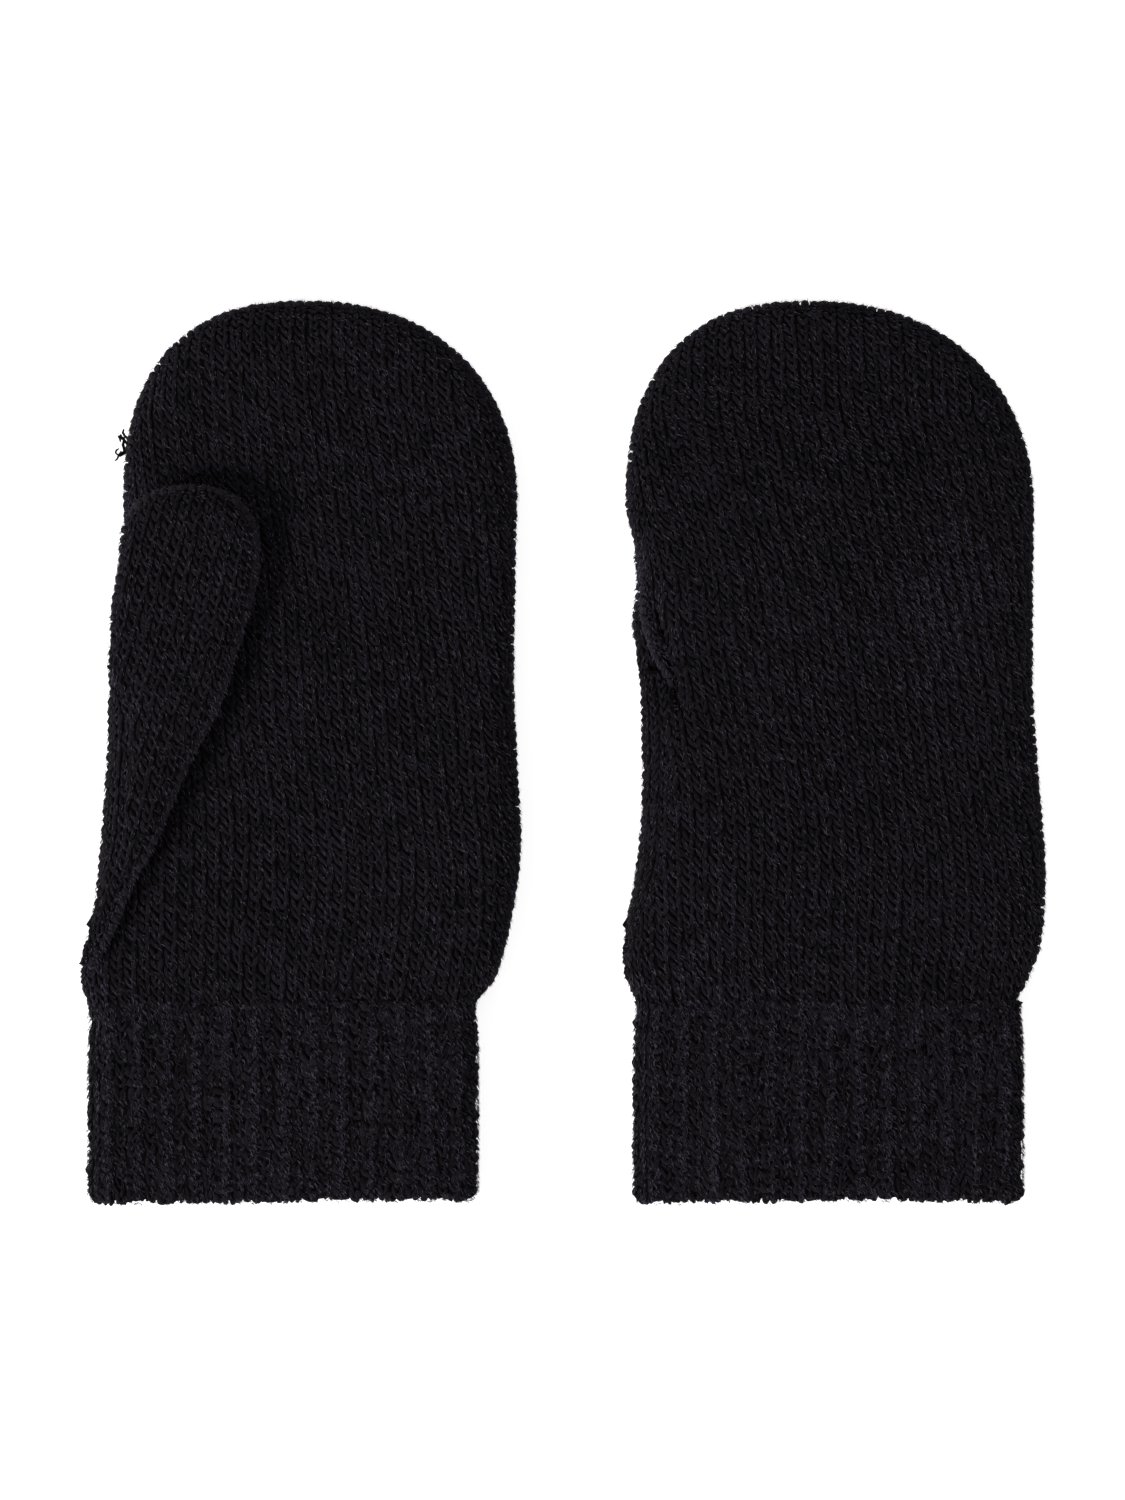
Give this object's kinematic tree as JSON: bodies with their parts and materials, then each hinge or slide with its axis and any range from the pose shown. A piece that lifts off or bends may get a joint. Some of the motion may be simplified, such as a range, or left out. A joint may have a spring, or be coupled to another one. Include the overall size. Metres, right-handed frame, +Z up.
{
  "type": "pair of knitted mittens",
  "caption": "Pair of plain knitted mittens with ribbed cuffs, one palm up and one palm down, each with a gusseted thumb folded flat.",
  "frame": {"origin": "middle of the pair's box, on the surface that the mittens lie on", "axes": "+Z up out of the surface, +Y towards the fingertips, +X from the left mitten to the right mitten"},
  "size_m": [0.1936, 0.1799, 0.0212],
  "materials": {
    "plain_knit": "black stockinette knit in soft spun yarn, slightly brushed",
    "rib_knit": "black ribbed knit in the same yarn",
    "seam_yarn": "black yarn overlocked over the edge"
  },
  "bodies": {
    "left_mitten": {"left_palm": "plain_knit", "left_back": "plain_knit", "left_cuff": "rib_knit", "left_closing_seam": "seam_yarn", "left_cuff_seam": "seam_yarn", "left_gusset_outer": "plain_knit", "left_gusset_inner": "plain_knit", "left_thread_tail": "seam_yarn", "left_cuff_yarn_end": "seam_yarn"},
    "left_thumb": {"left_thumb_upper": "plain_knit", "left_thumb_lower": "plain_knit", "left_thumb_seam": "seam_yarn"},
    "right_mitten": {"right_back": "plain_knit", "right_palm": "plain_knit", "right_cuff": "rib_knit", "right_closing_seam": "seam_yarn", "right_cuff_seam": "seam_yarn", "right_gusset_outer": "plain_knit", "right_gusset_inner": "plain_knit"},
    "right_thumb": {"right_thumb_upper": "plain_knit", "right_thumb_lower": "plain_knit", "right_thumb_seam": "seam_yarn"}
  },
  "joints": [
    {"name": "left_thumb_fold", "type": "hinge", "parent": "left_mitten", "child": "left_thumb", "pos_m": [-0.09756, -0.045, 0.0108], "axis": [-0.096, -0.9954, 0], "range_deg": [0, 180], "deforming": ["left_gusset_outer", "left_gusset_inner"]},
    {"name": "right_mitten_lift", "type": "slide", "parent": "left_mitten", "child": "right_mitten", "axis": [0, 0, 1], "range_m": [0, 0.12]},
    {"name": "right_thumb_fold", "type": "hinge", "parent": "right_mitten", "child": "right_thumb", "pos_m": [0.01212, -0.044, 0.0104], "axis": [0.0238, 0.9997, 0], "range_deg": [0, 180], "deforming": ["right_gusset_outer", "right_gusset_inner"]}
  ],
  "couplings": [
    {"joint": "right_thumb_fold", "follows": "right_mitten_lift", "rad_per_m": 26.1}
  ]
}
